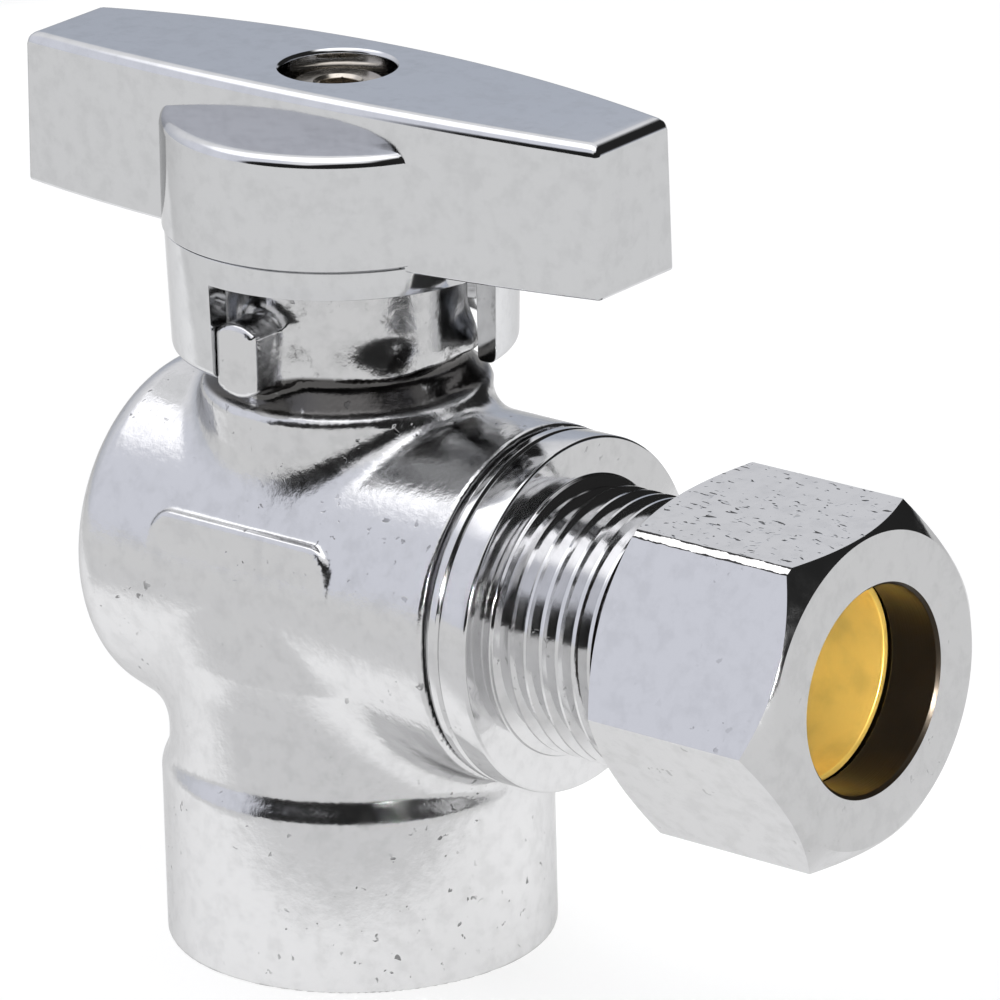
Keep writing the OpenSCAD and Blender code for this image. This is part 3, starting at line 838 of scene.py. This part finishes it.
def make_world():
    """A studio around the part: pale tent, bright soft boxes and the dark screens that chrome needs."""
    world = bpy.data.worlds.new("studio")
    bpy.context.scene.world = world
    world.use_nodes = True
    tree = world.node_tree
    make = node_maker(tree)
    ray = make("ShaderNodeTexCoord").outputs["Generated"]
    height = make("ShaderNodeSeparateXYZ", {"Vector": ray}).outputs["Z"]
    colour = colour_mix(make, range_of(make, height, 0.05, 0.75), BASE_LOW, BASE_HIGH)
    for azimuth, elevation, half, soft, tone in PANELS:
        facing = make("ShaderNodeVectorMath", {0: ray, 1: direction(azimuth, elevation)},
                      operation="DOT_PRODUCT").outputs["Value"]
        outer, inner = math.cos(math.radians(half + soft)), math.cos(math.radians(half - soft))
        inside = range_of(make, facing, outer, inner)
        colour = colour_mix(make, inside, colour, tone)
    colour = colour_mix(make, range_of(make, height, -0.04, 0.0, 1.0, 0.0), colour, TENT_FLOOR)
    shader = tree.nodes["Background"]
    tree.links.new(colour, shader.inputs["Color"])
    shader.inputs["Strength"].default_value = 1.0


def make_floor():
    """A wide pale matt floor that the valve stands on. It glows, with painted shade in front of the valve and
    a painted pool of light round and behind it.
    """
    reach = 3.0
    corners = [(-reach, -reach, 0), (reach, -reach, 0), (reach, reach, 0), (-reach, reach, 0)]
    mesh = bpy.data.meshes.new("floor")
    mesh.from_pydata(corners, [], [(0, 1, 2, 3)])
    material, tree, shader, make = new_material("floor_painted_light_and_shade", (0.25, 0.25, 0.25), 0.0, 0.6)
    place = make("ShaderNodeTexCoord").outputs["Object"]
    glow = FLOOR_GLOW
    # Zones of painted shade and of painted light on the glowing floor.
    for centre, inner, outer, tone in FLOOR_LIGHT_AND_SHADE:
        away = make("ShaderNodeVectorMath", {0: place, 1: centre}, operation="DISTANCE").outputs["Value"]
        glow = colour_mix(make, range_of(make, away, inner, outer, 1.0, 0.0), glow, tone)
    shader.inputs["Specular IOR Level"].default_value = 0.0
    tree.links.new(glow, shader.inputs["Emission Color"])
    shader.inputs["Emission Strength"].default_value = 1.0
    grain = make("ShaderNodeTexNoise", {"Vector": place, "Scale": GRAIN_SCALE, "Detail": 3.0}).outputs["Fac"]
    bump = make("ShaderNodeBump", {"Strength": 0.2, "Distance": 0.05 * MM, "Height": grain})
    tree.links.new(bump.outputs["Normal"], shader.inputs["Normal"])
    mesh.materials.append(material)
    floor = bpy.data.objects.new("floor", mesh)
    bpy.context.collection.objects.link(floor)


def make_bore_lamp():
    """A snooted lamp from the front that lights the bore through the nut."""
    data = bpy.data.lights.new("bore_lamp", "SPOT")
    data.energy, data.shadow_soft_size = BORE_LAMP_POWER, 0.02
    data.spot_size, data.spot_blend = math.radians(BORE_LAMP_CONE), 0.4
    lamp = bpy.data.objects.new("bore_lamp", data)
    bpy.context.collection.objects.link(lamp)
    aim = Vector(direction(*BORE_LAMP_FROM))
    lamp.location = Vector((NUT_END, 0, OUTLET_Z)) * MM + aim * BORE_LAMP_AWAY
    lamp.rotation_euler = aim.to_track_quat("Z", "Y").to_euler()


def make_camera():
    """Long lens from the front right, a little above."""
    azimuth, elevation, roll = (math.radians(v) for v in (39.58, 19.58, -1.37))
    distance, lens, target = 0.5619, 320.8, Vector((12.39, 0, 31.55)) * MM
    back = Vector((math.sin(azimuth) * math.cos(elevation), -math.cos(azimuth) * math.cos(elevation),
                   math.sin(elevation)))
    level = Vector((math.cos(azimuth), math.sin(azimuth), 0))
    rise = back.cross(level)
    right = level * math.cos(roll) + rise * math.sin(roll)
    up = rise * math.cos(roll) - level * math.sin(roll)
    data = bpy.data.cameras.new("camera")
    data.lens, data.sensor_width, data.clip_start = lens, 36.0, 0.01
    camera = bpy.data.objects.new("camera", data)
    bpy.context.collection.objects.link(camera)
    camera.matrix_world = Matrix((right, up, back)).transposed().to_4x4()
    camera.location = target + back * distance
    bpy.context.scene.camera = camera


# Lamp: power in watts, cone, azimuth and elevation in degrees, distance in metres
BORE_LAMP_POWER, BORE_LAMP_CONE, BORE_LAMP_FROM, BORE_LAMP_AWAY = 90.0, 3.2, (-38, 12), 0.30
# Colour of the dark bands on the cast chrome: smudges, and painted shade in the hollow ledge between boss and
# hexagon.
DIRT_AND_SHADE_TINT = (0.05, 0.046, 0.042)
GRAZING_TINT = (0.7, 0.7, 0.7)
BASE_LOW, BASE_HIGH = (0.62, 0.64, 0.70), (0.9, 0.9, 0.92)
TENT_FLOOR = (0.88, 0.88, 0.87)
FLOOR_GLOW = (0.55, 0.55, 0.545)
# centre in metres, full and faded radius in metres, then colour: painted shade in front of the valve, then a
# painted pool of light round and behind it
FLOOR_LIGHT_AND_SHADE = [
    ((-0.005, -0.055, 0), 0.045, 0.100, (0.53, 0.53, 0.53)),
    ((-0.055, 0.082, 0), 0.120, 0.132, (0.82, 0.82, 0.82)),
]
# azimuth, elevation, half angle and softness in degrees, then colour
PANELS = [
    (-135, 34, 36, 9, (0.74, 0.755, 0.83)),
    (131, 8, 15, 5, (0.58, 0.62, 0.71)),
    (80, 18, 26, 6, (0.02, 0.02, 0.02)),
    (45, 34, 30, 6, (0.02, 0.02, 0.02)),
    (5, 25, 32, 6, (0.02, 0.02, 0.02)),
    (-45, 14, 30, 6, (0.015, 0.015, 0.015)),
    (-88, 8, 26, 5, (0.015, 0.015, 0.015)),
    (-80, 86, 24, 8, (1.7, 1.7, 1.75)),
    (-165, 64, 20, 8, (1.6, 1.6, 1.65)),
]

NUT_FLAT = (0.0, -math.sin(math.radians(5.5)), math.cos(math.radians(5.5)))
NUT_FLAT_REACH = NUT_HEX / 2 + OUTLET_Z * NUT_FLAT[2]

# low and high edge, radius, darkness and how much stays clean, for each dark band: smudges on the neck, then
# painted shade in the hollow ledge between boss and hexagon
GRIME_AND_PAINTED_SHADE = [(39.9, 46.4, 8.9, 0.8, 0.52), (37.7, 39.7, 9.0, 0.9, 0.30)]
CHROME_CAST = chrome("cast_chrome", (0.77, 0.77, 0.775), 0.035, 0.024, 0.15, 0.10, 0.75, grime_and_shade=GRIME_AND_PAINTED_SHADE)
CHROME_TURNED = chrome("turned_chrome", (0.77, 0.77, 0.775), 0.004, 0.004, 0.07, 0.08, 0.3)
CHROME_NUT = chrome("nut_chrome", (0.77, 0.77, 0.775), 0.004, 0.004, 0.07, 0.08, 0.3,
                    dashes=(NUT_FLAT, NUT_FLAT_REACH))
CHROME_WORN = worn_chrome("worn_chrome")
CHROME_HANDLE = chrome("handle_chrome", (0.78, 0.785, 0.795), 0.018, 0.0015, 0.06, 0.06, 0.05)
CHROME_BALL = chrome("ball_chrome", (0.80, 0.81, 0.82), 0.001, 0.001, 0.03, 0.03, 0.0)
BRASS_BARE = brass("bare_brass")
# Near-black brass: painted shade for the bore, lip and thread inside the nut.
BRASS_PAINTED_SHADE = brass("brass_painted_shade", (0.022, 0.016, 0.01), 0.3, 0.01)
STEEL_SCREW = chrome("screw_steel", (0.62, 0.57, 0.50), 0.004, 0.004, 0.18, 0.12, 0.3)
PTFE = plastic("seat_plastic", (0.90, 0.90, 0.88), 0.42)
RUBBER = plastic("seal_rubber", (0.022, 0.022, 0.024), 0.48)

bpy.context.scene.view_settings.view_transform = "Standard"
make_camera()
make_world()
make_floor()
make_bore_lamp()
make_casting()
make_inlet_thread()
make_adapter()
make_nut()
make_sleeve()
make_handle()
make_screw()
finish_hidden_parts()
